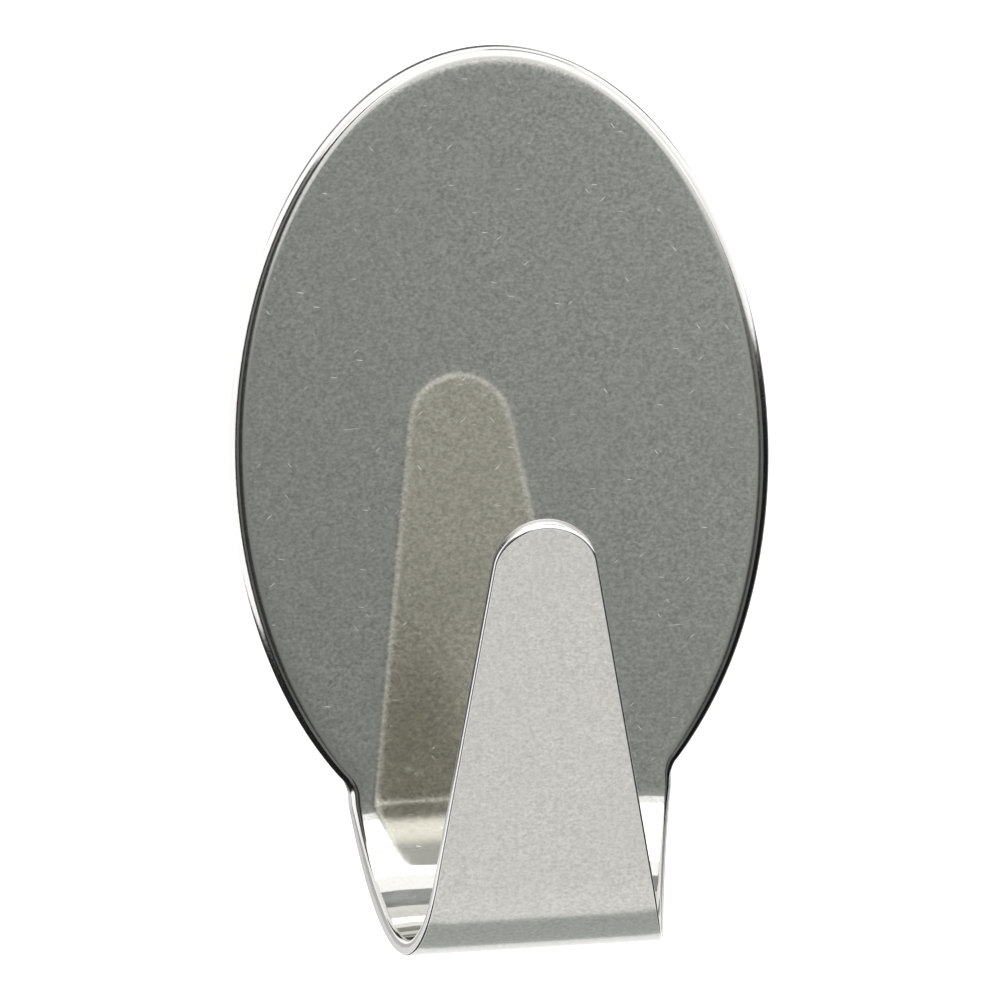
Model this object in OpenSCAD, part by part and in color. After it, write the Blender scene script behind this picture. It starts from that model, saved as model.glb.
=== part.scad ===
// Adhesive wall hook: an oval steel plate drawn out into a hook, on a self-adhesive pad.
// X runs across the hook, Y into the wall and Z up. The origin is the middle of the
// oval on the wall side, and the hook opens towards -Y.

/* [Sheet] */
// Thickness of the steel sheet
sheet_t = 1; // [0.8:0.1:1.5]
// Radius of the coined front edge at the sides of the oval
edge_r = 0.65; // [0.3:0.05:1]
// Least height of square edge left behind the coined one
edge_land = 0.1; // [0.05:0.05:0.3]

/* [Plate] */
// Width of the oval
plate_w = 34; // [28:0.5:44]
// Height of the oval, as if its lower end were whole
plate_h = 52; // [46:0.5:64]

/* [Hook] */
// Width of the neck
neck_w = 20.4; // [14:0.2:22]
// Radius of the fillets between the oval and the neck
neck_fillet_r = 1.5; // [0.8:0.1:3]
// Straight stretch of neck between the fillets and the bend
neck_len = 0.6; // [0.2:0.1:5]
// Inner radius of the bend
bend_r = 6.9; // [5:0.1:12]
// Lean of the tongue away from the wall, in degrees
tongue_lean = 16; // [6:1:40]
// Length of the tongue from the bend to its tip
tongue_len = 25.4; // [12:0.2:36]
// Radius of the tongue's round tip
tip_r = 3.3; // [2:0.1:5]

/* [Pad] */
// Thickness of the foam carrier
foam_t = 1; // [0.5:0.1:2]
// Thickness of each adhesive film
adhesive_t = 0.08; // [0.05:0.01:0.15]
// Distance from the plate's edge to the pad's edge
pad_margin = 1.5; // [0.5:0.1:3]
// Flat stretch of plate left between the pad and the bend
pad_bend_gap = 0.5; // [0.2:0.1:3]

/* [Liner] */
// Thickness of the release liner
liner_t = 0.1; // [0.05:0.01:0.2]
// Width of the liner's finger tab
tab_w = 8; // [5:0.5:12]
// Length of the finger tab below the pad
tab_len = 5; // [3:0.5:7]

/* [Hidden] */
$fn = 96;

// How far a cutter reaches past the metal that it trims
spare = 0.5;
// How far round forms bite into what they would only just touch
bite = 0.001;
// Steps in which the tapered sides wind round the bend and the tip is rounded
wind_steps = 48;
tip_steps = 16;
// How far past the middle of the tip each side is trimmed, in degrees
tip_lap_a = 2;

// Distances from the wall to each layer of the pad and to the plate
wall_adhesive_n = liner_t;
foam_n = wall_adhesive_n + adhesive_t;
plate_adhesive_n = foam_n + foam_t;
plate_n = plate_adhesive_n + adhesive_t;
front_n = plate_n + sheet_t;

// The coined edge always leaves some square edge behind it
coin_r = min(edge_r, sheet_t - edge_land);

// Point on the lower right of the oval at an angle, moved out square to the edge
function beside_oval(angle, out) =
    let(square_to_edge = [plate_h * cos(angle), -plate_w * sin(angle)])
    [plate_w * cos(angle), -plate_h * sin(angle)] / 2
        + out * square_to_edge / norm(square_to_edge);

// Angle at which that moved point lies a given distance across, found by halving
function angle_at(across, out, low = 0, high = 90, turns = 30) =
    let(middle = (low + high) / 2)
    turns == 0 ? middle
        : beside_oval(middle, out).x > across ? angle_at(across, out, middle, high, turns - 1)
        : angle_at(across, out, low, middle, turns - 1);

// The fillet's centre lies one radius off the oval and off the side of the neck
neck_half = neck_w / 2;
fillet_u = neck_half + neck_fillet_r - bite;
fillet_angle = angle_at(fillet_u, neck_fillet_r - bite);
fillet_c = beside_oval(fillet_angle, neck_fillet_r - bite);
fillet_root = beside_oval(fillet_angle, -neck_fillet_r);

// The bend starts below the neck, and turns until the tongue leans outwards
bend_v = fillet_c.y - neck_len;
bend_a = 180 - tongue_lean;
bend_n = front_n + bend_r;

// The tapered sides wind round the bend in steps, and leave the neck half a step into it
step_a = bend_a / wind_steps;
taper_turn_a = bend_a - step_a / 2;

// The flat blank narrows evenly from there on, until its sides touch the round tip
arc_per_degree = (bend_r + sheet_t / 2) * PI / 180;
tip_along = tongue_len - tip_r;
taper_len = arc_per_degree * taper_turn_a + tip_along;
taper_a = acos(tip_r / norm([neck_half, taper_len])) - atan2(taper_len, neck_half);
narrowing = tan(taper_a) * arc_per_degree;

// Half width, turn round the bend and length along the tongue, down one side and over the tip
side_line = concat(
    [for (i = [-1 : wind_steps])
        [neck_half - narrowing * step_a * (i - 0.5), step_a * i, 0]],
    [for (i = [0 : tip_steps])
        let(angle = taper_a + (90 + tip_lap_a - taper_a) * i / tip_steps)
        [tip_r * cos(angle), bend_a, tip_along + tip_r * sin(angle)]],
    [[-tip_r * sin(tip_lap_a), bend_a, tongue_len + spare]]
);

// Stub of flat neck that comes with the bend, clear of the winding, and where the neck laps it
stub_len = bend_r * tan((tongue_lean - step_a) / 2);
lap_v = bend_v + stub_len / 2;

// Lower edge of the pad, just above the bend
pad_low_v = bend_v + pad_bend_gap;

// Stands a shape drawn across (x) and up (y) against the wall, at a distance from it
module on_wall(distance) {
    translate([0, -distance, 0])
        rotate([90, 0, 0])
            children();
}

// Stretches a round form as wide as the oval, drawn in by an inset, to the oval's height
module stretched(inset = 0) {
    scale([1, (plate_h - 2 * inset) / (plate_w - 2 * inset), 1])
        children();
}

// The oval, drawn in from the plate's edge by an inset
module oval(inset = 0) {
    stretched(inset) circle(d = plate_w - 2 * inset);
}

// Everything above a line across the plate
module above(v) {
    translate([-plate_w, v]) square([2 * plate_w, 2 * plate_h]);
}

// What the coining takes off a corner at the origin whose metal lies at -x, -y
module coined_corner() {
    difference() {
        translate([-coin_r, -coin_r]) square(coin_r + spare);
        translate([-coin_r, -coin_r]) circle(coin_r);
    }
}

// The oval plate with its coined front edge, down to where the neck takes over
module plate() {
    difference() {
        translate([0, 0, plate_n])
            linear_extrude(sheet_t)
                intersection() {
                    oval();
                    above(lap_v);
                }
        stretched()
            rotate_extrude()
                translate([plate_w / 2 + bite, front_n + bite]) coined_corner();
    }
}

// The flat neck, with a fillet on each side where it leaves the oval
module neck() {
    translate([0, 0, plate_n])
        linear_extrude(sheet_t) {
            translate([-neck_half, lap_v]) square([neck_w, -lap_v]);
            for (side = [0, 1]) {
                mirror([side, 0])
                    difference() {
                        polygon([
                            [0, 0],
                            [neck_half - neck_fillet_r, fillet_c.y],
                            fillet_c,
                            fillet_root
                        ]);
                        translate(fillet_c) circle(neck_fillet_r);
                    }
            }
        }
}

// Everything within a radius of the bend, carried on along the stub and the tongue, and past both
module within(radius, past = 0) {
    intersection() {
        circle(radius);
        translate([-radius, 0]) square(2 * radius);
    }
    translate([-past, -stub_len - past]) square([radius + past, stub_len + past]);
    rotate(bend_a)
        translate([-past, 0]) square([radius - bite + past, tongue_len + spare / 2 + past]);
}

// Place of a station of the side line, moved across and out from the axis of the bend
function beside_strip(station, across, radius) =
    let(turn = station[1], along = station[2])
    [radius * cos(turn) - along * sin(turn), radius * sin(turn) + along * cos(turn), across];

// What lies outside one side of the strip, all the way from the neck to the tip
module outside_strip() {
    inner = bend_r - spare;
    outer = bend_r + sheet_t + spare;
    far = neck_half + 2 * spare;
    points = [for (station = side_line) each [
        beside_strip(station, station[0], inner),
        beside_strip(station, station[0], outer),
        beside_strip(station, far, outer),
        beside_strip(station, far, inner)
    ]];
    last = len(points) - 4;
    walls = [for (ring = [0 : 4 : last - 4], k = [0 : 3])
        let(next = (k + 1) % 4)
        each [
            [ring + k, ring + next, ring + 4 + next],
            [ring + k, ring + 4 + next, ring + 4 + k]
        ]];
    ends = [[3, 2, 1], [3, 1, 0], [last, last + 1, last + 2], [last, last + 2, last + 3]];
    polyhedron(points, concat(walls, ends));
}

// The bent strip, drawn about the bend: x points at the wall, y down and z across
module strip() {
    difference() {
        linear_extrude(neck_w, center = true)
            difference() {
                within(bend_r + sheet_t);
                within(bend_r, spare);
            }
        for (side = [0, 1]) {
            mirror([0, 0, side]) outside_strip();
        }
    }
}

// Outline of the pad: the oval inside the plate's edge, cut straight above the bend
module pad_outline() {
    intersection() {
        oval(pad_margin);
        above(pad_low_v);
    }
}

// Outline of the liner: the pad's, with a round finger tab behind the bend
module liner_outline() {
    tab_v = pad_low_v - tab_len + tab_w / 2;
    pad_outline();
    translate([0, tab_v]) circle(d = tab_w);
    translate([-tab_w / 2, tab_v]) square([tab_w, -tab_v]);
}

// One pressing: plate, neck, bend and tongue
module hook_plate() {
    color("silver")
        on_wall(0) {
            plate();
            neck();
            translate([0, bend_v, bend_n])
                rotate([180, 90, 0]) strip();
        }
}

module plate_adhesive() {
    color("lightyellow")
        on_wall(plate_adhesive_n) linear_extrude(adhesive_t) pad_outline();
}

module foam_core() {
    color("white")
        on_wall(foam_n) linear_extrude(foam_t) pad_outline();
}

module wall_adhesive() {
    color("lightyellow")
        on_wall(wall_adhesive_n) linear_extrude(adhesive_t) pad_outline();
}

module release_liner() {
    color("khaki")
        on_wall(0) linear_extrude(liner_t) liner_outline();
}

hook_plate();
plate_adhesive();
foam_core();
wall_adhesive();
release_liner();
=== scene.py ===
# %% [markdown]
# # A stick-on wall hook, dressed for its photograph
# The hook is one steel pressing: an oval plate whose lower end is drawn out into a neck, bent
# forward, and brought up again as a narrowing tongue. Behind it lies a foam pad with an adhesive
# film on each face, and a paper liner covers the film that goes on the wall. The measured solids
# are loaded first, as a fixed frame. Each piece is then modelled over its solid, in millimetres,
# and brought to metres at the end, because Blender's edit tools suit sizes near one.

# %% Load the frame
import math

import bpy
import bmesh
from mathutils import Matrix, Vector, noise


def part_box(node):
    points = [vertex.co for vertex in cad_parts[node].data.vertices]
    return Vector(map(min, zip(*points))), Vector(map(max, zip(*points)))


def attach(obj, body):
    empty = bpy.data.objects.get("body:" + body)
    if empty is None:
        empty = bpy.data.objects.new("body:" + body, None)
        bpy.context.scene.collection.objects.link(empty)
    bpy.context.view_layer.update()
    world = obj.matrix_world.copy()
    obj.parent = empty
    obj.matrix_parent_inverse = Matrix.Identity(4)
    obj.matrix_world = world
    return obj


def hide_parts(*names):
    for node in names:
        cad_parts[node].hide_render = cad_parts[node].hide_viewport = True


MM = 0.001
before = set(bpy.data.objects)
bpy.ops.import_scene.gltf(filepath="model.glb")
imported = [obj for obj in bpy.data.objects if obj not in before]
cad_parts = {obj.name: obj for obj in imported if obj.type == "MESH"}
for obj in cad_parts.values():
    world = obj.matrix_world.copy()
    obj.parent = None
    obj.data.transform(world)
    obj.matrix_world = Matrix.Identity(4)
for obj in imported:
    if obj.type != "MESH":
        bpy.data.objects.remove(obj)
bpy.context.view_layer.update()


def box_mm(node):
    """Lowest and highest corner of a solid, in millimetres."""
    low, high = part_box(node)
    return low / MM, high / MM


hook_low, hook_high = box_mm("hook_plate")
print("hook, mm:", [round(v, 2) for v in (*hook_low, *hook_high)])

# %% [markdown]
# ## Helpers for modelling by hand
# Operators work on what is selected, so every piece starts with nothing selected. Vertices are
# then picked by where they are, as one would pick them with the mouse. A finished piece is
# scaled to metres inside its mesh, which leaves its object unscaled at the origin.

# %% Selecting
NEAR = 0.01


def clear_selection():
    """Leaves edit mode and deselects everything."""
    if bpy.context.object and bpy.context.object.mode != "OBJECT":
        bpy.ops.object.mode_set(mode="OBJECT")
    bpy.ops.object.select_all(action="DESELECT")


def pick(obj, test, kind="VERT"):
    """In edit mode, selects the vertices, edges or faces that pass a test, and says how many."""
    bpy.ops.mesh.select_mode(type=kind)
    bpy.ops.mesh.select_all(action="DESELECT")
    mesh = bmesh.from_edit_mesh(obj.data)
    elements = {"VERT": mesh.verts, "EDGE": mesh.edges, "FACE": mesh.faces}[kind]
    found = [element for element in elements if test(element)]
    for element in found:
        element.select_set(True)
    mesh.select_flush_mode()
    bmesh.update_edit_mesh(obj.data)
    return len(found)


def at_height(z):
    """A test that picks the vertices at a height."""
    return lambda v: abs(v.co.z - z) < NEAR


# %% Shaping and finishing
def new_oval(name, half_width, half_height, y, steps):
    """A flat oval that faces the room, made from a circle and left in edit mode."""
    clear_selection()
    bpy.ops.mesh.primitive_circle_add(vertices=steps, radius=1, fill_type="NGON",
                                      rotation=(math.pi / 2, 0, 0))
    oval = bpy.context.object
    oval.name = oval.data.name = name
    bpy.ops.object.transform_apply(location=True, rotation=True, scale=True)
    bpy.ops.object.mode_set(mode="EDIT")
    bpy.ops.transform.resize(value=(half_width, 1, half_height), center_override=(0, 0, 0))
    bpy.ops.transform.translate(value=(0, y, 0))
    return oval


def cut_below(z):
    """Cuts away what lies below a height."""
    bpy.ops.mesh.select_all(action="SELECT")
    bpy.ops.mesh.bisect(plane_co=(0, 0, z), plane_no=(0, 0, 1), clear_inner=True)


def add_modifier(obj, kind, **settings):
    """Adds a modifier with its settings and applies it."""
    modifier = obj.modifiers.new(kind.lower(), kind)
    for name, value in settings.items():
        setattr(modifier, name, value)
    bpy.ops.object.modifier_apply(modifier=modifier.name)


def to_metres(obj):
    """Brings a piece from millimetres to metres inside its mesh."""
    bpy.ops.object.mode_set(mode="EDIT")
    bpy.ops.mesh.select_all(action="SELECT")
    bpy.ops.transform.resize(value=(MM, MM, MM), center_override=(0, 0, 0))
    bpy.ops.object.mode_set(mode="OBJECT")


# %% [markdown]
# ## The pressing, part one: plate and neck
# On the real hook this is a flat blank stamped from satin stainless sheet. Its outline could be
# drawn as a filled curve, but a circle stretched to an oval keeps its points in order for the
# rounding later. The oval's lower end is cut straight off where it is as wide as the neck, and
# the cut edge is pulled down to where the bend starts. The two inner corners get their fillets
# from a vertex bevel, which is how a flat outline is rounded in Blender.

# %% Measures of plate and neck
sheet_t = 1.0
neck_half = 10.2
neck_fillet_r = 1.5
bend_r = 6.9

plate_half_w = (hook_high.x - hook_low.x) / 2
plate_half_h = hook_high.z
front_y = hook_high.y - sheet_t
bend_y = front_y - bend_r
bend_z = hook_low.z + bend_r + sheet_t

neck_angle = math.acos(neck_half / plate_half_w)
neck_z = -plate_half_h * math.sin(neck_angle)
oval_slope = math.atan2(plate_half_w * math.sin(neck_angle), plate_half_h * math.cos(neck_angle))
fillet_reach = neck_fillet_r * math.tan(oval_slope / 2)
print("neck starts at", round(neck_z, 2), "mm and the bend at", round(bend_z, 2), "mm")

# %% Plate and neck
plate_steps, fillet_steps = 192, 8
fillet_clear = 1.5 * fillet_reach

hook = new_oval("hook_pressing", plate_half_w, plate_half_h, front_y, plate_steps)
cut_below(neck_z)
pick(hook, at_height(neck_z))
bpy.ops.mesh.extrude_region_move(TRANSFORM_OT_translate={"value": (0, 0, bend_z - neck_z)})
pick(hook, lambda e: all(at_height(neck_z)(v) for v in e.verts), "EDGE")
bpy.ops.mesh.dissolve_edges(use_verts=False)


def close_to_corner(v):
    """Picks the points of the oval that are in the way of a fillet."""
    away = math.hypot(abs(v.co.x) - neck_half, v.co.z - neck_z)
    return NEAR < away < fillet_clear and v.co.z > neck_z


pick(hook, close_to_corner)
bpy.ops.mesh.dissolve_verts()
pick(hook, at_height(neck_z))
bpy.ops.mesh.bevel(offset=fillet_reach, offset_type="OFFSET", segments=fillet_steps,
                   affect="VERTICES")
print("plate outline:", len(bmesh.from_edit_mesh(hook.data).verts), "points")

# %% [markdown]
# ## The pressing, part two: bend and tongue
# The press turns the strip forward round a bar. A flat strip could be bent by a modifier, but the
# spin tool does what the press does and keeps the radius true: it sweeps the neck's lower edge
# round the axis of the bend. One more extrusion makes the tongue, which leans out from the wall.
# The blank narrows evenly all the way, so each ring of the bend is drawn in by its distance
# along the strip, and the end corners are rounded until they meet in the tip.

# %% Measures of bend and tongue
tongue_lean = math.radians(16)
tongue_len = 25.4
tip_r = 3.3

bend_turn = math.pi - tongue_lean
middle_r = bend_r + sheet_t / 2
taper_len = middle_r * bend_turn + tongue_len - tip_r
taper = math.acos(tip_r / math.hypot(neck_half, taper_len)) - math.atan2(taper_len, neck_half)
narrowing = math.tan(taper) * middle_r
tip_corner = tip_r * math.tan((math.pi / 2 - taper) / 2)
print("each side tapers by", round(math.degrees(taper), 2), "degrees")

# %% Bend and tongue
bend_steps = 48

pick(hook, at_height(bend_z))
bpy.ops.mesh.spin(steps=bend_steps, angle=bend_turn, center=(0, bend_y, bend_z), axis=(1, 0, 0))
end_z = bend_z - bend_r * math.sin(bend_turn)
end_y = bend_y + bend_r * math.cos(bend_turn)
found = pick(hook, lambda v: at_height(end_z)(v) and abs(v.co.y - end_y) < NEAR)
along = Vector((0, -math.sin(tongue_lean), math.cos(tongue_lean)))
bpy.ops.mesh.extrude_region_move(TRANSFORM_OT_translate={"value": along * tongue_len})
print("end of bend found by", found, "points")


# %% Even taper
def turn_of(co):
    """How far round the bend a point of the strip lies, in radians."""
    return math.atan2(bend_z - co.z, co.y - bend_y) if co.z < bend_z + NEAR else 0.0


strip = bmesh.from_edit_mesh(hook.data)
for v in strip.verts:
    past_end = (v.co - Vector((v.co.x, end_y, end_z))).dot(along)
    if v.co.y < end_y - NEAR and past_end > tongue_len - NEAR:
        v.co.x = math.copysign(tip_corner, v.co.x)
    elif v.co.z < bend_z - NEAR or v.co.y < bend_y:
        v.co.x = math.copysign(neck_half - narrowing * turn_of(v.co), v.co.x)
bmesh.update_edit_mesh(hook.data)
print("strip narrows from", 2 * neck_half, "to", round(2 * tip_corner, 2), "mm before its tip")

# %% Round tip and border
JUST_SHORT = 0.998
tip_steps = 14
merge_within = 0.05
border = 1.6

pick(hook, lambda v: v.co.y < end_y - NEAR and abs(abs(v.co.x) - tip_corner) < NEAR)
bpy.ops.mesh.bevel(offset=JUST_SHORT * tip_corner, offset_type="OFFSET", segments=tip_steps,
                   affect="VERTICES")
bpy.ops.mesh.select_all(action="SELECT")
bpy.ops.mesh.remove_doubles(threshold=merge_within)
bpy.ops.mesh.normals_make_consistent(inside=False)
if max(bmesh.from_edit_mesh(hook.data).faces, key=lambda f: f.calc_area()).normal.y > 0:
    bpy.ops.mesh.flip_normals()
bpy.ops.mesh.inset(thickness=border, depth=0, use_boundary=True, use_even_offset=True)
bpy.ops.object.mode_set(mode="OBJECT")
print("sheet:", len(hook.data.vertices), "points")

# %% [markdown]
# ## The pressing, part three: thickness
# So far the sheet has only its show side. An extrusion would shear it on the bend, so Solidify
# gives it the real thickness of one millimetre, square to that side everywhere. It also marks
# the back and the cut edge by material, which the next steps use to tell the edges apart.

# %% Thickness
FACE, BACK, CUT, COINED = range(4)
for finish in ("satin_face", "satin_back", "sheared_edge", "coined_edge"):
    hook.data.materials.append(bpy.data.materials.new(finish))
add_modifier(hook, "SOLIDIFY", thickness=sheet_t, offset=-1, use_even_offset=True,
             material_offset=BACK, material_offset_rim=CUT)
print("solid sheet:", len(hook.data.polygons), "faces")

# %% [markdown]
# ## The pressing, part four: edges
# The press coins the plate's front edge round. That rounding thins towards the neck and fades
# out along it, further down on the left side than on the right. Neck and bend have a slightly
# slanted cut side, as a die with clearance leaves it, and the tongue's edges are only drawn in
# as any sheared edge is, most of all at the tip. A bevel for each stretch would leave seams. One
# Bevel modifier does all of it, because each edge carries its own weight. Last, the inner line
# of the coined edge is drawn in and down by a hair, so that the flat face runs softly into it.

# %% Where along the edge
fillet_spare = 0.3
fillet_top_z = neck_z + fillet_reach + fillet_spare
thins_from_z = -14.0
tip_low_z, tip_high_z = -1.6, 0.0


def clamp(share):
    """Keeps a share between 0 and 1."""
    return min(max(share, 0.0), 1.0)


def turn_share(co):
    """How far round the bend a point lies, from 0 on the plate to 1 on the tongue."""
    if co.y > bend_y and co.z > bend_z:
        return 0.0
    return min(turn_of(co) / bend_turn, 1.0) if co.z < bend_z else 1.0


def past_fillet(co):
    """Length along the strip from the top of the neck's fillets, in millimetres."""
    return max(fillet_top_z - max(co.z, bend_z), 0.0) + bend_r * bend_turn * turn_share(co)


def near_neck(co):
    """How near a point of the plate is to the neck's fillets, up to 1 there and past them."""
    if co.y < bend_y:
        return 1.0
    return clamp((thins_from_z - co.z) / (thins_from_z - fillet_top_z))


def tip_share(co):
    """How far a point lies on the tongue's round tip, from 0 below it to 1 on it."""
    return clamp((co.z - tip_low_z) / (tip_high_z - tip_low_z)) if co.y < bend_y else 0.0


print("coined edge thins from", thins_from_z, "to", round(fillet_top_z, 2), "mm")

# %% Slanted cut side
draft = 0.35
draft_at_fillet, draft_full_len = 0.45, 2.0
draft_goes_from, draft_goes_over = 0.35, 0.4


def draft_share(co):
    """How much of the draft a point of the cut edge has: all on the neck, none on the tongue."""
    comes = draft_at_fillet * near_neck(co)
    comes += (1 - draft_at_fillet) * min(past_fillet(co) / draft_full_len, 1.0)
    goes = clamp((turn_share(co) - draft_goes_from) / draft_goes_over)
    return comes * (1 - goes)


edge_finish = {}
for face in hook.data.polygons:
    for key in face.edge_keys:
        edge_finish.setdefault(key, set()).add(face.material_index)
show_edge = {i for key, finishes in edge_finish.items() if finishes == {FACE, CUT} for i in key}
for i in show_edge:
    co = hook.data.vertices[i].co
    co.x -= math.copysign(draft * draft_share(co), co.x)
print("slanted by up to", draft, "mm at", len(show_edge), "points of the show edge")

# %% Rounded edges
coin_r, coin_top_r = 0.88, 0.55
coin_fade_len = {"left": 5.0, "right": 1.8}
coin_thins = {"left": 0.25, "right": 0.05}
inner_r, tongue_r, tip_thins = 0.1, 0.35, 0.15
back_r, roll_r, tip_roll_r = 0.08, 0.14, 0.3
edge_steps = 6


def show_edge_r(co):
    """Radius of the rounding at a place on the show side's edge."""
    side = "left" if co.x < 0 else "right"
    coined = coin_top_r + (coin_r - coin_top_r) * (1 - max(co.z / plate_half_h, 0) ** 2)
    coined -= coin_thins[side] * near_neck(co)
    plain = inner_r + (tongue_r - inner_r) * turn_share(co)
    fade = min(past_fillet(co) / coin_fade_len[side], 1.0)
    return coined + (plain - coined) * fade - tip_thins * tip_share(co)


def back_edge_r(co):
    """Radius of the die roll at a place on the back's edge."""
    return back_r + (roll_r - back_r) * turn_share(co) + (tip_roll_r - roll_r) * tip_share(co)


weights = hook.data.attributes.new("bevel_weight_edge", "FLOAT", "EDGE")
rounded = 0
for edge in hook.data.edges:
    start, end = (hook.data.vertices[i].co for i in edge.vertices)
    if edge_finish[edge.key] == {FACE, CUT}:
        radius = show_edge_r((start + end) / 2)
    elif edge_finish[edge.key] == {BACK, CUT}:
        radius = back_edge_r((start + end) / 2)
    else:
        continue
    weights.data[edge.index].value = radius / coin_r
    rounded += 1
add_modifier(hook, "BEVEL", width=coin_r, segments=edge_steps, limit_method="WEIGHT",
             use_clamp_overlap=False, material=COINED, face_strength_mode="FSTR_ALL")
print("rounded edges:", rounded, " faces now:", len(hook.data.polygons))

# %% Soft lead-in
lead_in, lead_drop, lead_len = 0.1, 0.025, 2.0


def into_plate(co):
    """Direction square to the oval's edge, into the plate."""
    return Vector((-co.x / plate_half_w ** 2, 0, -co.z / plate_half_h ** 2)).normalized()


bpy.ops.object.mode_set(mode="EDIT")
mesh = bmesh.from_edit_mesh(hook.data)
led_in = 0
for v in mesh.verts:
    finishes = {f.material_index for f in v.link_faces}
    if finishes == {FACE, COINED} and v.co.z > bend_z and v.co.y > bend_y:
        share = min((v.co.z - bend_z) / lead_len, 1.0)
        v.co += share * (lead_in * into_plate(v.co) + Vector((0, lead_drop, 0)))
        led_in += 1
bmesh.update_edit_mesh(hook.data)
bpy.ops.object.mode_set(mode="OBJECT")
bpy.ops.object.shade_smooth()
add_modifier(hook, "WEIGHTED_NORMAL", use_face_influence=True)
print("lead-in at", led_in, "points")


# %% Depth for the finishes
def depth_of(co):
    """Depth of a point behind the show side, from 0 to the sheet's thickness."""
    if co.z > bend_z and co.y > bend_y:
        return co.y - front_y
    if turn_of(co) < bend_turn and co.z < bend_z:
        return math.hypot(co.y - bend_y, co.z - bend_z) - bend_r
    return -(co.y - end_y) * math.cos(tongue_lean) - (co.z - end_z) * math.sin(tongue_lean)


depth = hook.data.attributes.new("depth", "FLOAT", "POINT")
for v in hook.data.vertices:
    depth.data[v.index].value = depth_of(v.co)
print("depth, mm:", [round(f(d.value for d in depth.data), 3) for f in (min, max)])
to_metres(hook)

# %% [markdown]
# ## The foam pad
# Behind the plate lies a die-cut pad of white foam, one millimetre thick. A plain extrusion would
# look like card, because a die leaves the cut side of foam a little hollow and open-celled. The
# outline is the plate's, drawn in and cut straight above the bend. It is extruded, its side is
# subdivided into fine rows, and each point of the side is pushed in by a cell pattern, never
# out, so that the pad stays inside its solid.

# %% Pad outline
foam_low, foam_high = box_mm("foam_core")


def new_pad(name, node, steps=240):
    """The flat outline of a pad layer, cut straight at its lower edge, and its solid's corners."""
    low, high = box_mm(node)
    pad = new_oval(name, high.x, foam_high.z, low.y, steps)
    cut_below(foam_low.z)
    return pad, low, high


def give_depth(depth_mm):
    """Pulls the outline back towards the wall and leaves a closed solid."""
    bpy.ops.mesh.select_all(action="SELECT")
    bpy.ops.mesh.extrude_region_move(TRANSFORM_OT_translate={"value": (0, depth_mm, 0)})
    bpy.ops.mesh.select_all(action="SELECT")
    bpy.ops.mesh.normals_make_consistent(inside=False)


print("pad:", [round(v, 2) for v in foam_high - foam_low], "mm")

# %% Foam
foam_steps, low_edge_cuts, side_cuts = 480, 90, 7
hollow_depth = 0.06
cell_depth, cells_per_mm = 0.05, 3.1
pit_depth, pits_per_mm = 0.06, 2.3
face_margin = 0.02

foam, low, high = new_pad("foam_pad", "foam_core", foam_steps)
pick(foam, lambda e: all(at_height(foam_low.z)(v) for v in e.verts), "EDGE")
bpy.ops.mesh.subdivide(number_cuts=low_edge_cuts)
give_depth(high.y - low.y)
pick(foam, lambda e: abs(e.verts[0].co.y - e.verts[1].co.y) > NEAR, "EDGE")
bpy.ops.mesh.subdivide(number_cuts=side_cuts)
mesh = bmesh.from_edit_mesh(foam.data)
for v in mesh.verts:
    share = (v.co.y - low.y) / (high.y - low.y)
    hollow = hollow_depth * math.sin(math.pi * share)
    cells = cell_depth * noise.cell(v.co * cells_per_mm)
    cells += pit_depth * abs(noise.noise(v.co * pits_per_mm))
    inward = Vector((0, 0, 1)) if v.co.z < foam_low.z + NEAR else into_plate(v.co)
    if face_margin < share < 1 - face_margin:
        v.co += inward * (hollow + cells)
bmesh.update_edit_mesh(foam.data)
bpy.ops.object.mode_set(mode="OBJECT")
bpy.ops.object.shade_smooth_by_angle(angle=math.radians(50))
to_metres(foam)
print("foam:", len(foam.data.polygons), "faces")

# %% [markdown]
# ## The two adhesive films
# A thin acrylic film holds the foam to the plate and another holds the pad to the wall. They could
# be mere colour on the foam's faces, but from the side they show as two thin lines. So each is the
# pad's outline at its own depth, with its edge drawn in by a bevel, as a soft film rounds over
# where the die has cut it.

# %% Films
def finish_layer(layer, edge_r, steps):
    """Rounds the cut edge of a thin layer, smooths its shading and brings it to metres."""
    bpy.ops.object.mode_set(mode="OBJECT")
    add_modifier(layer, "BEVEL", width=edge_r, segments=steps, limit_method="ANGLE",
                 angle_limit=math.radians(60), use_clamp_overlap=False)
    bpy.ops.object.shade_smooth_by_angle(angle=math.radians(30))
    to_metres(layer)


films = []
for name, node in (("plate_film", "plate_adhesive"), ("wall_film", "wall_adhesive")):
    film, low, high = new_pad(name, node)
    give_depth(high.y - low.y)
    finish_layer(film, edge_r=0.03, steps=3)
    films.append(film)
    print(name, "is", round(high.y - low.y, 3), "mm thick")

# %% [markdown]
# ## The release liner
# The liner is cream paper with a finger tab that sticks out behind the bend. A tab made as a piece
# of its own would leave a seam. So it is pulled down from the middle of the pad's straight lower
# edge, and its two corners are rounded with a vertex bevel until they meet in a half circle.

# %% Liner
tab_half, tab_steps = 4.0, 12

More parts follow.
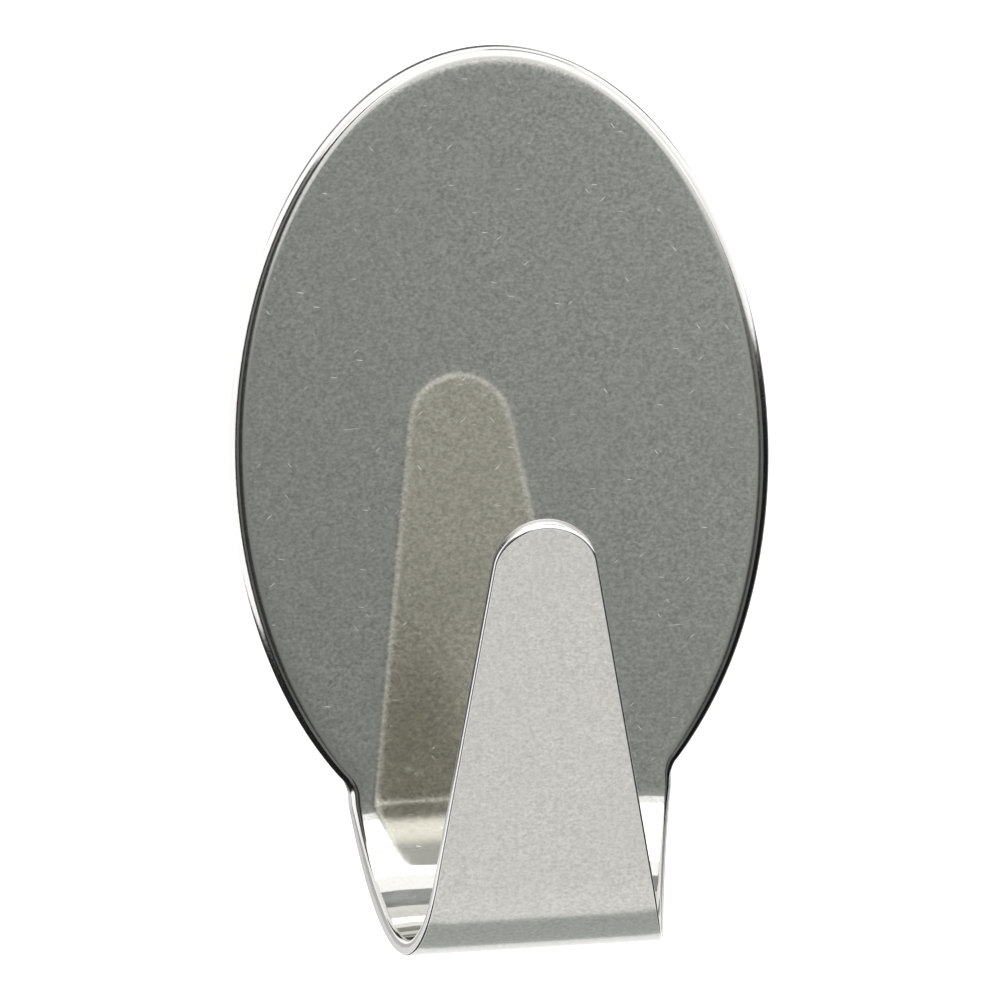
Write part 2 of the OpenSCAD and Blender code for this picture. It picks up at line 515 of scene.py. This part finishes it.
liner, low, high = new_pad("paper_liner", "release_liner")
for side in (-tab_half, tab_half):
    bpy.ops.mesh.select_all(action="SELECT")
    bpy.ops.mesh.bisect(plane_co=(side, 0, 0), plane_no=(1, 0, 0))
pick(liner, lambda v: at_height(foam_low.z)(v) and abs(v.co.x) < tab_half + NEAR)
bpy.ops.mesh.extrude_region_move(TRANSFORM_OT_translate={"value": (0, 0, low.z - foam_low.z)})
pick(liner, at_height(low.z))
bpy.ops.mesh.bevel(offset=JUST_SHORT * tab_half, offset_type="OFFSET", segments=tab_steps,
                   affect="VERTICES")
bpy.ops.mesh.select_all(action="SELECT")
bpy.ops.mesh.dissolve_limited(angle_limit=math.radians(1))
give_depth(high.y - low.y)
finish_layer(liner, edge_r=0.02, steps=2)
print("liner:", len(liner.data.polygons), "faces, tab", round(foam_low.z - low.z, 2), "mm long")

# %% [markdown]
# ## Tying the pieces to the frame
# Each piece rides on a body of the mechanism and stands for the solid that it was modelled over.

# %% Frame ties
for piece, body, node, finish in (
        (hook, "hook", "hook_plate", "satin_steel"),
        (films[0], "hook", "plate_adhesive", "adhesive_film"),
        (foam, "hook", "foam_core", "pad_foam"),
        (films[1], "hook", "wall_adhesive", "adhesive_film"),
        (liner, "liner", "release_liner", "liner_paper")):
    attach(piece, body)
    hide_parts(node)
    print(piece.name, "rides on", body, "and stands for", node)

# %% [markdown]
# ## Helpers for the finishes
# Every finish is a small node tree that reads Object coordinates, so a pattern keeps its real
# size in millimetres and stays put when the piece moves. The same few nodes come up in all of
# them, so they get short calls here.


# %% Node helpers
class Finish:
    """A material's node tree, with short calls for the nodes that the finishes use."""

    def __init__(self, material, **constants):
        material.use_nodes = True
        self.material = material
        self.tree = material.node_tree
        self.shader = next(n for n in self.tree.nodes if n.type == "BSDF_PRINCIPLED")
        for name, value in constants.items():
            self.shader.inputs[name.replace("_", " ")].default_value = value
        self.place = self.tree.nodes.new("ShaderNodeTexCoord").outputs["Object"]

    def set(self, socket, value):
        """Links a node's output to a socket, or sets the socket to a number or a colour."""
        if isinstance(value, bpy.types.NodeSocket):
            self.tree.links.new(value, socket)
        else:
            socket.default_value = value

    def add(self, kind, inputs=(), **settings):
        node = self.tree.nodes.new(kind)
        for name, value in settings.items():
            setattr(node, name, value)
        for key, value in dict(inputs).items():
            self.set(node.inputs[key], value)
        return node

    def along(self, axis):
        """The place along one axis, in metres."""
        return self.add("ShaderNodeSeparateXYZ", {"Vector": self.place}).outputs[axis]

    def stored(self, name):
        """A value that the mesh keeps on its points."""
        return self.add("ShaderNodeAttribute", attribute_name=name).outputs["Fac"]

    def drawn_out(self, stretch, turn):
        """The place, turned and then stretched, to draw a pattern out in one direction."""
        turned = self.add("ShaderNodeMapping", {"Vector": self.place, "Rotation": turn}).outputs[0]
        return self.add("ShaderNodeMapping", {"Vector": turned, "Scale": stretch}).outputs[0]

    def pattern(self, size_mm, stretch=(1, 1, 1), turn=(0, 0, 0), detail=2.0, roughness=0.5):
        """Noise whose patches are about size_mm across, stretched and turned as asked."""
        return self.add("ShaderNodeTexNoise", {
            "Vector": self.drawn_out(stretch, turn), "Scale": 1 / (size_mm * MM),
            "Detail": detail, "Roughness": roughness}).outputs[0]

    def cells(self, size_mm, place):
        """Distance from the middle of the nearest cell, for cells about size_mm across."""
        return self.add("ShaderNodeTexVoronoi", {
            "Vector": place, "Scale": 1 / (size_mm * MM)}).outputs["Distance"]

    def range(self, value, low, high, to_low=0.0, to_high=1.0):
        """Takes a value from one range to another, held at both ends."""
        return self.add("ShaderNodeMapRange", {
            "Value": value, "From Min": low, "From Max": high,
            "To Min": to_low, "To Max": to_high}).outputs[0]

    def spread(self, pattern, low=0.0, high=1.0):
        """Spreads a noise pattern, most of which lies between 0.3 and 0.7, over a range."""
        return self.range(pattern, 0.3, 0.7, low, high)

    def math(self, operation, first, second=0.0):
        return self.add("ShaderNodeMath", {0: first, 1: second}, operation=operation).outputs[0]

    def times(self, first, second):
        return self.math("MULTIPLY", first, second)

    def plus(self, first, second):
        return self.math("ADD", first, second)

    def blend(self, share, first, second):
        """A colour between two others."""
        mix = self.add("ShaderNodeMix", {0: share}, data_type="RGBA")
        for socket, value in ((mix.inputs[6], first), (mix.inputs[7], second)):
            self.set(socket, (*value, 1) if isinstance(value, tuple) else value)
        return mix.outputs[2]

    def bump(self, height, depth_mm, below=None):
        """A relief of the given depth, on top of another if one is named."""
        inputs = {"Height": height, "Distance": depth_mm * MM, "Strength": 1.0}
        if below is not None:
            inputs["Normal"] = below
        return self.add("ShaderNodeBump", inputs).outputs[0]

    def wire(self, **sockets):
        """Links nodes to the shader's sockets, which are named with _ for each space."""
        for name, value in sockets.items():
            self.tree.links.new(value, self.shader.inputs[name.replace("_", " ")])


# %% [markdown]
# ## Satin steel
# Stainless sheet is neither mirror nor matt. A fine random grain from the rolling mill blurs
# what it mirrors, and handling leaves a few short hair scratches, painted pale as a painted glint.
# The inside of the bend is painted lighter, partly for the burnish of the press bar and partly as
# a painted highlight. The tongue's inner side is rougher and gets painted shade, darker towards
# its tip, and its outer side gets a little painted shade too. The grain drives colour and
# roughness, and a very shallow bump breaks up the reflections. The scratches are the middles of
# Voronoi cells, drawn out thin and turned several ways, because stretched noise that is cut off
# near its top gives blots and not dashes.

# %% Scratches, polish, painted highlight and painted shade
# Slant and heights of the bend's burnish and painted highlight; towards the front of the bend they
# give way to painted shade.
bend_mask_slant = -0.45
bend_mask_from_z, bend_mask_full_z = bend_z + 0.4, bend_z - 1.6
# The tongue's inner side gets painted shade between these heights, darker towards its tip.
shade_from_z, shade_full_z = bend_z + 2, bend_z + 9
least_shade, most_shade = 0.3, 0.74
dash_core = 0.3


def hair_scratches(steel):
    """Short thin dashes in four directions, from 0 beside them to 1 on them."""
    scratches = None
    for turn, size_mm, slim, width in ((1.4, 0.5, 0.12, 0.07), (0.6, 0.55, 0.12, 0.06),
                                       (-0.9, 0.5, 0.1, 0.06), (1.6, 0.9, 0.03, 0.035)):
        away = steel.cells(size_mm, steel.drawn_out((1, 1, slim), (0, turn, 0)))
        dashes = steel.range(away, dash_core * width, width, 1.0, 0.0)
        scratches = dashes if scratches is None else steel.math("MAXIMUM", scratches, dashes)
    return scratches


def bend_highlight_and_shade(steel, on_tongue):
    """How far a place of the show side is painted lighter in the bend, as burnish and painted
    highlight, and how much painted shade it gets above that.
    """
    slanted = steel.times(steel.math("SUBTRACT", steel.along("Y"), front_y * MM), bend_mask_slant)
    in_bend = steel.range(steel.plus(steel.along("Z"), slanted), bend_mask_from_z * MM, bend_mask_full_z * MM)
    painted_shade = steel.range(steel.along("Z"), shade_from_z * MM, shade_full_z * MM, least_shade, most_shade)
    above_bend = steel.math("SUBTRACT", 1.0, in_bend)
    return in_bend, steel.times(above_bend, steel.times(on_tongue, painted_shade))


# %% Satin steel
dark_grain, pale_grain = (0.42, 0.416, 0.393), (0.90, 0.892, 0.84)
dark_brush, pale_brush = (0.55, 0.545, 0.52), (0.79, 0.78, 0.745)
cloud_tone, back_tone = (0.63, 0.624, 0.588), (0.66, 0.654, 0.617)
# The pale tone is the bend's burnish and painted highlight; the dark one is painted shade on the
# tongue.
burnish_and_highlight_tone, painted_shade_tone = (0.86, 0.855, 0.82), (0.33, 0.328, 0.31)
# The scratches are real; their pale tone is a painted glint.
scratch_glint_tone = (0.92, 0.915, 0.9)
# Shares of brushing, of the bend's burnish and painted highlight, of evening out the back, and of
# painted shade on the tongue's outer side.
brush_share, burnish_and_highlight_share, back_even, back_painted_shade = 0.3, 0.85, 0.5, 0.2
painted_shade_rough, scratch_rough = 0.3, 0.45
grain_relief, brush_relief = 0.0002, 0.001
tongue_full_y = bend_y - 5


def satin_steel(material, show_side):
    """Grain, clouds, scratches with a painted glint, painted shade on the tongue, and on the show
    side a bend painted lighter, as burnish and painted highlight.
    """
    steel = Finish(material, Metallic=1.0)
    grain = steel.pattern(0.22, stretch=(0.8, 1, 1), detail=4.0, roughness=0.7)
    cloud = steel.pattern(5.0, detail=3.0)
    brushed = steel.pattern(0.14, stretch=(1, 0.03, 0.03))
    on_tongue = steel.range(steel.along("Y"), bend_y * MM, tongue_full_y * MM)

    tone = steel.blend(steel.spread(grain), dark_grain, pale_grain)
    tone = steel.blend(steel.spread(cloud, 0.0, 0.3), tone, cloud_tone)
    tone = steel.blend(steel.times(on_tongue, brush_share), tone,
                       steel.blend(brushed, dark_brush, pale_brush))
    if show_side:
        in_bend, painted_shade = bend_highlight_and_shade(steel, on_tongue)
        # The bend is painted lighter, partly as burnish and partly as painted highlight.
        tone = steel.blend(steel.times(in_bend, burnish_and_highlight_share), tone, burnish_and_highlight_tone)
        rough = steel.spread(grain, 0.05, 0.075)
    else:
        # Painted shade on the tongue's outer side.
        painted_shade = steel.times(on_tongue, back_painted_shade)
        tone = steel.blend(steel.range(on_tongue, 0.0, 1.0, back_even, 0.0), tone, back_tone)
        rough = steel.spread(grain, 0.08, 0.12)
    scratches = hair_scratches(steel)
    # Painted shade darkens the tongue here.
    tone = steel.blend(painted_shade, tone, painted_shade_tone)
    # Scratches with their painted glint.
    tone = steel.blend(scratches, tone, scratch_glint_tone)
    rough = steel.plus(rough, steel.times(painted_shade, painted_shade_rough))
    rough = steel.plus(rough, steel.times(scratches, scratch_rough))
    relief = steel.bump(steel.times(brushed, on_tongue), brush_relief,
                        below=steel.bump(grain, grain_relief))
    steel.wire(Base_Color=tone, Roughness=rough, Normal=relief)


for finish in (FACE, BACK):
    satin_steel(hook.data.materials[finish], finish == FACE)
print("satin steel on", sum(f.material_index in (FACE, BACK) for f in hook.data.polygons), "faces")

# %% [markdown]
# ## Coined and sheared edges
# Coining squeezes the edge between dies. Further down its side the coined edge is painted brighter
# than the sheet, partly for the shine of the coining and partly as a painted highlight. A sheared
# edge has two bands: the punch burnishes the first half of the thickness, then the rest breaks
# away and stays matt and grainy. One finish for the whole edge would lose that line, so the depth
# stored on the points tells the finish where each band begins. On top of the tongue's tip the cut
# edge is painted brighter as a painted highlight, and it is faintly pink.

# %% Coined edge
# The coined edge turns paler down its side: the coining's shine and a painted highlight.
pressed_highlit_from, pressed_highlit_full = 0.03, 0.25


def coined_edge(material):
    """Plain sheet at the edge's inner line, and further down its side coined metal painted bright,
    partly for its shine and partly as a painted highlight.
    """
    coined = Finish(material, Metallic=1.0)
    pressed_and_highlit = coined.range(coined.stored("depth"), pressed_highlit_from, pressed_highlit_full)
    cloud = coined.pattern(2.5, detail=3.0)
    grain = coined.pattern(0.2)
    sheet = coined.blend(cloud, (0.63, 0.624, 0.588), (0.69, 0.683, 0.645))
    bright = coined.blend(cloud, (0.86, 0.855, 0.835), (0.92, 0.915, 0.895))
    coined.wire(Base_Color=coined.blend(pressed_and_highlit, sheet, bright),
                Roughness=coined.spread(grain, 0.10, 0.16),
                Normal=coined.bump(grain, 0.0005))


coined_edge(hook.data.materials[COINED])
print("coined finish on", sum(f.material_index == COINED for f in hook.data.polygons), "faces")

# %% Sheared edge
burnished_from, burnished_full = 0.46, 0.54
# Height from which the cut edge on the tongue's tip gets a painted highlight, and the tip's
# lighter tones.
tip_highlight_from_z = -2.5
broken_tip_highlight, rubbed_tip_highlight = (0.58, 0.56, 0.56), (0.68, 0.655, 0.65)


def sheared_edge(material):
    """A grainy broken band and a streaked burnished one, which meet in a ragged line."""
    cut = Finish(material, Metallic=1.0)
    ragged = cut.spread(cut.pattern(0.35, detail=3.0), -0.04, 0.04)
    burnished = cut.range(cut.plus(cut.stored("depth"), ragged), burnished_from, burnished_full)
    grit = cut.pattern(0.07, detail=3.0, roughness=0.7)
    streaks = cut.pattern(0.05, stretch=(1, 0.15, 0.15), detail=1.0)
    tip_highlight_share = cut.range(cut.along("Z"), tip_highlight_from_z * MM, 0.0)
    broken = cut.blend(grit, (0.33, 0.325, 0.315), (0.48, 0.475, 0.46))
    rubbed = cut.blend(streaks, (0.48, 0.477, 0.465), (0.58, 0.577, 0.565))
    # Painted highlight on top of the tip.
    tone = cut.blend(burnished, cut.blend(tip_highlight_share, broken, broken_tip_highlight),
                     cut.blend(tip_highlight_share, rubbed, rubbed_tip_highlight))
    relief = cut.times(grit, cut.math("SUBTRACT", 1.0, burnished))
    cut.wire(Base_Color=tone,
             Roughness=cut.range(burnished, 0.0, 1.0, 0.42, 0.2),
             Normal=cut.bump(cut.plus(relief, cut.times(burnished, 2.0)), 0.006))


sheared_edge(hook.data.materials[CUT])
print("sheared finish on", sum(f.material_index == CUT for f in hook.data.polygons), "faces")

# %% [markdown]
# ## Foam, film and paper
# The pad's layers are plain stuff seen close up: white foam with fine cells, a tacky film with a
# soft gloss and a yellow cast, and paper whose fibres show under a thin release coat. Photographs
# of such stuff would tile and blur, so cells, flow marks and fibres come from noise at their
# real size.


# %% Pad finishes
def pad_foam(material):
    """White foam, rougher in the middle of each cell and a little yellowed in patches."""
    white = Finish(material, Specular_IOR_Level=0.3)
    cells = white.cells(0.18, white.place)
    cloud = white.pattern(5.0)
    tone = white.blend(cells, (0.80, 0.80, 0.775), (0.90, 0.90, 0.88))
    white.wire(Base_Color=white.blend(white.spread(cloud, 0.0, 0.25), tone, (0.83, 0.82, 0.78)),
               Roughness=white.range(cells, 0.0, 0.7, 0.95, 0.7),
               Normal=white.bump(cells, 0.03))


def adhesive_film(material):
    """Yellowish film with flow marks under a soft gloss."""
    tacky = Finish(material, Coat_Weight=0.4, Coat_Roughness=0.12)
    flow = tacky.pattern(2.2)
    peel = tacky.pattern(0.5, detail=1.0)
    tacky.wire(Base_Color=tacky.blend(flow, (0.80, 0.765, 0.64), (0.87, 0.845, 0.74)),
               Roughness=tacky.spread(peel, 0.28, 0.42),
               Normal=tacky.bump(peel, 0.01))


def liner_paper(material):
    """Cream paper with fibres in two directions under a thin coat."""
    paper = Finish(material, Coat_Weight=0.25, Coat_Roughness=0.3)
    fibres = paper.pattern(0.09, stretch=(1, 1, 0.12), detail=3.0)
    across = paper.pattern(0.11, stretch=(0.15, 1, 1), turn=(0, 0.4, 0), detail=3.0)
    felt = paper.plus(fibres, across)
    cloud = paper.range(paper.pattern(3.5, detail=3.0), 0.35, 0.65, 0.0, 0.35)
    tone = paper.blend(paper.range(felt, 0.7, 1.3), (0.79, 0.745, 0.63), (0.88, 0.845, 0.745))
    paper.wire(Base_Color=paper.blend(cloud, tone, (0.84, 0.79, 0.67)),
               Roughness=paper.range(felt, 0.7, 1.3, 0.55, 0.42),
               Normal=paper.bump(felt, 0.004))


for make, pieces in ((pad_foam, [foam]), (adhesive_film, films), (liner_paper, [liner])):
    material = bpy.data.materials.new(make.__name__)
    make(material)
    for piece in pieces:
        piece.data.materials.append(material)
    print(make.__name__, "on", [piece.name for piece in pieces])

# %% [markdown]
# ## The set
# Steel shows what stands around it, so a single lamp would leave it flat and the set is built
# for its reflections. A white surround and a pale floor far below give the bright parts, and the
# flat plate mirrors a grey card in front. Dark cards at both sides, in front and on the floor
# draw the dark lines in the rounded edge. The ones at the sides and on the floor turn paler
# where only the flat faces mirror them, so that the steel isn't black from elsewhere. A grey
# card above, a dark one high behind and two softboxes finish it. The camera sees no card. It does
# see the floor, which glows a little more in its view, because the cards shade it.


# %% Set helpers
def stage_plane(name, centre, size, towards, material):
    """A rectangle that faces a point, made from a plane."""
    clear_selection()
    bpy.ops.mesh.primitive_plane_add(size=1)
    plane = bpy.context.object
    plane.name = plane.data.name = name
    facing = (Vector(towards) - Vector(centre)).to_track_quat("Z", "Y").to_matrix().to_4x4()
    plane.data.transform(Matrix.Translation(centre) @ facing @ Matrix.Diagonal((*size, 1, 1)))
    plane.data.materials.append(material)
    return plane


def seen_in_picture(tree):
    """1 for rays that come from the camera, or from a reflection or a clear piece."""
    path = tree.nodes.new("ShaderNodeLightPath").outputs
    total = path["Is Camera Ray"]
    for ray in ("Is Glossy Ray", "Is Transmission Ray"):
        add = tree.nodes.new("ShaderNodeMath")
        add.operation, add.use_clamp = "ADD", True
        tree.links.new(total, add.inputs[0])
        tree.links.new(path[ray], add.inputs[1])
        total = add.outputs[0]
    return total


# %% White surround
surround_light, surround_seen = 0.75, 1.15

scene = bpy.context.scene
scene.world = bpy.data.worlds.new("white_surround")
scene.world.use_nodes = True
tree = scene.world.node_tree
background = tree.nodes["Background"]
background.inputs["Color"].default_value = (1, 1, 1, 1)
strength = tree.nodes.new("ShaderNodeMapRange")
strength.inputs["To Min"].default_value = surround_light
strength.inputs["To Max"].default_value = surround_seen
tree.links.new(seen_in_picture(tree), strength.inputs["Value"])
tree.links.new(strength.outputs[0], background.inputs["Strength"])
print("surround lights at", surround_light, "and is seen at", surround_seen)

# %% Floor
floor_z, floor_size = -0.3, 6
floor_glow, straight_glow = 0.4, 0.35

floor = Finish(bpy.data.materials.new("floor_paint"), Roughness=0.9,
               Base_Color=(0.86, 0.86, 0.86, 1), Emission_Color=(1, 1, 1, 1))
glow = floor.range(seen_in_picture(floor.tree), 0.0, 1.0, 0.0, floor_glow)
straight = floor.add("ShaderNodeLightPath").outputs["Is Camera Ray"]
floor.wire(Emission_Strength=floor.plus(glow, floor.times(straight, straight_glow)))
stage_plane("floor", (0, 0, floor_z), (floor_size, floor_size), (0, 0, 1), floor.material)
print("floor lies", round(hook_low.z - floor_z / MM), "mm below the hook")

# %% Card helpers
card_cast = (0.96, 1.0, 0.97)


def card_paint(name, **constants):
    """Matt paint for a card of the same name."""
    return Finish(bpy.data.materials.new(name), Roughness=0.95, Specular_IOR_Level=0.1,
                  **constants)


def plain_paint(name, tone):
    """Paint of one grey, with the set's faintly green cast."""
    return card_paint(name, Base_Color=(*(tone * cast for cast in card_cast), 1))


def fading_paint(name, dark_at, pale_at, pale, black=0.012):
    """Black paint that turns paler along Y, away from what the rounded edge mirrors."""
    paint = card_paint(name)
    share = paint.range(paint.along("Y"), dark_at, pale_at)
    paint.wire(Base_Color=paint.blend(share, (black, black, black), (pale, pale, pale)))
    return paint


def card(name, low, high, facing, paint):
    """A card between two corners, which steel mirrors but the camera doesn't see."""
    low, high = Vector(low), Vector(high)
    centre = (low + high) / 2
    plane = stage_plane(name, centre, (1, 1), centre + Vector(facing), paint.material)
    for v in plane.data.vertices:
        v.co = [low[i] if v.co[i] < centre[i] else high[i] for i in range(3)]
    plane.visible_camera = False
    return plane


# %% Grey card in front
dark_grey, pale_grey = (0.545, 0.57, 0.55), (0.83, 0.865, 0.84)
paler_from_z, paler_to_z = -0.2, -0.07
paler_from_x, paler_to_x, sideways_share = 0.04, 0.09, 0.35

grey = card_paint("front_card")
upward = grey.range(grey.along("Z"), paler_from_z, paler_to_z)
sideways = grey.range(grey.along("X"), paler_from_x, paler_to_x, -sideways_share, sideways_share)
grey.wire(Base_Color=grey.blend(grey.plus(upward, sideways), dark_grey, pale_grey))
card("front_card", (-0.07, -0.5, floor_z), (0.2, -0.5, -0.07), (0, 1, 0), grey)
print("front card runs from", dark_grey, "to", pale_grey)

# %% Plain cards
mat_z = -0.295

for name, low, high, facing, tone in (
        ("left_front_card", (-0.32, -0.52, floor_z), (-0.07, -0.52, 0.18), (0, 1, 0), 0.1),
        ("right_front_card", (0.2, -0.52, floor_z), (0.32, -0.52, -0.07), (0, 1, 0), 0.14),
        ("top_card", (0.066, -0.12, 0.6), (0.5, 0.05, 0.6), (0, 0, -1), 0.5),
        ("under_mat", (-0.09, -0.03, mat_z), (0.14, 0.22, mat_z), (0, 0, 1), 0.72),
        ("back_card", (-0.9, 0.7, 0.16), (0.9, 0.7, 0.5), (0, -1, 0), 0.03)):
    plane = card(name, low, high, facing, plain_paint(name, tone))
    if name == "back_card":
        plane.visible_diffuse = plane.visible_shadow = False
    print(name, "has tone", tone)

# %% Fading cards
for name, low, high, facing, dark_at, pale_at, pale in (
        ("left_card", (-0.3, -0.55, floor_z), (-0.3, -0.11, 0.18), (1, 0, 0), -0.16, -0.25, 0.34),
        ("right_card", (0.3, -0.55, floor_z), (0.3, 0.0, -0.02), (-1, 0, 0), -0.12, -0.19, 0.3),
        ("right_rear_card", (0.3, 0.0, floor_z), (0.3, 0.33, -0.02), (-1, 0, 0), 0.1, 0.26, 0.35),
        ("left_mat", (-0.5, -0.5, mat_z), (-0.09, 0.6, mat_z), (0, 0, 1), -0.15, -0.2, 0.42),
        ("right_mat", (0.14, -0.5, mat_z), (0.3, 0.3, mat_z), (0, 0, 1), -0.13, -0.17, 0.42)):
    card(name, low, high, facing, fading_paint(name, dark_at, pale_at, pale))


# %% Softboxes
def softbox(name, location, size, watts_per_m2):
    """A soft rectangular lamp that faces the hook, with power in proportion to its area."""
    bpy.ops.object.light_add(type="AREA", location=location)
    lamp = bpy.context.object
    lamp.name = name
    lamp.data.shape, lamp.data.size, lamp.data.size_y = "RECTANGLE", *size
    lamp.data.energy = watts_per_m2 * size[0] * size[1]
    lamp.rotation_euler = (-lamp.location).to_track_quat("-Z", "Y").to_euler()
    print(name, "gives", round(lamp.data.energy, 2), "W")


softbox("front_softbox", (0.05, -1.0, 0.3), (1.8, 0.62), 2.1)
softbox("high_softbox", (0.0, -0.75, 0.85), (1.4, 0.5), 5.2)

# %% [markdown]
# ## The camera
# The photograph shows almost no perspective, so the camera is orthographic. It stands a little to
# the left of the hook and above it, and is tipped by two degrees. The place of the oval's middle
# in the picture, and the picture's scale, set where the camera looks, so no lens shift is needed.

# %% Camera
azimuth, elevation, roll = math.radians(-7.2), math.radians(13.0), math.radians(1.9)
picture = 1000
pixels_per_mm = 16.04
middle_at = (500.5, 454.4)
camera_away = 0.35

right = Vector((math.cos(azimuth), math.sin(azimuth), 0))
back = Vector((math.sin(azimuth) * math.cos(elevation), -math.cos(azimuth) * math.cos(elevation),
               math.sin(elevation)))
up = back.cross(right)
turned_right = right * math.cos(roll) - up * math.sin(roll)
turned_up = right * math.sin(roll) + up * math.cos(roll)
aim = (Vector((0, front_y, 0)) - turned_right * (middle_at[0] - picture / 2) / pixels_per_mm
       + turned_up * (middle_at[1] - picture / 2) / pixels_per_mm) * MM
camera_data = bpy.data.cameras.new("photo_camera")
camera_data.type = "ORTHO"
camera_data.ortho_scale = picture / pixels_per_mm * MM
camera_data.clip_start, camera_data.clip_end = 0.001, 20
camera = bpy.data.objects.new("photo_camera", camera_data)
scene.collection.objects.link(camera)
camera.matrix_world = Matrix.Translation(aim + back * camera_away) @ Matrix(
    (turned_right, turned_up, back)).transposed().to_4x4()
scene.camera = camera
scene.view_settings.view_transform = "Standard"
print("picture is", round(picture / pixels_per_mm, 1), "mm wide")
